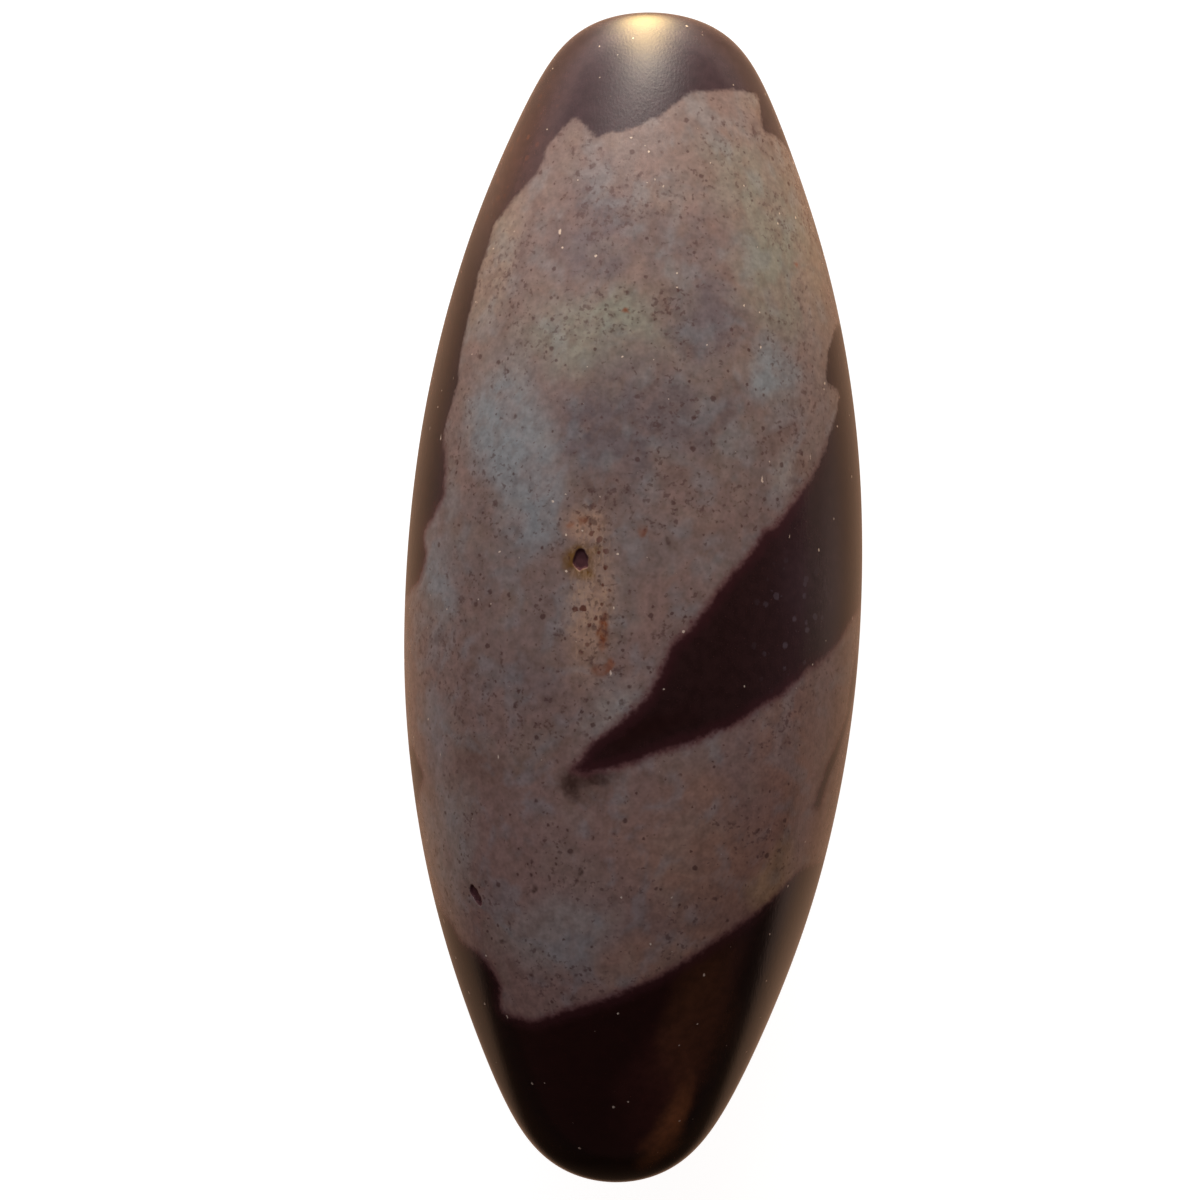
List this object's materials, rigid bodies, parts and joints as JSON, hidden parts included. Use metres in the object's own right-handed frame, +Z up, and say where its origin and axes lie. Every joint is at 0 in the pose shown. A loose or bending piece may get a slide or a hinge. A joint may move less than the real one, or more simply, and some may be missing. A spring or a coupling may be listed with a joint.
{
  "type": "shiva lingam stone",
  "caption": "Long egg-shaped polished stone of banded jasper, lying on its side on a small worn flat, with a blunt and a narrower rounded tip.",
  "frame": {"origin": "on the surface that the stone rests on, under the middle of its length and width", "axes": "+Y along the stone towards its blunter tip, +X across it, +Z up, away from the worn flat that it rests on"},
  "size_m": [0.039, 0.1, 0.0357],
  "materials": {
    "banded_jasper": "hand-polished, dark maroon with a taupe grey patch, waxy satin sheen"
  },
  "bodies": {
    "root": {"stone": "banded_jasper"}
  },
  "joints": []
}
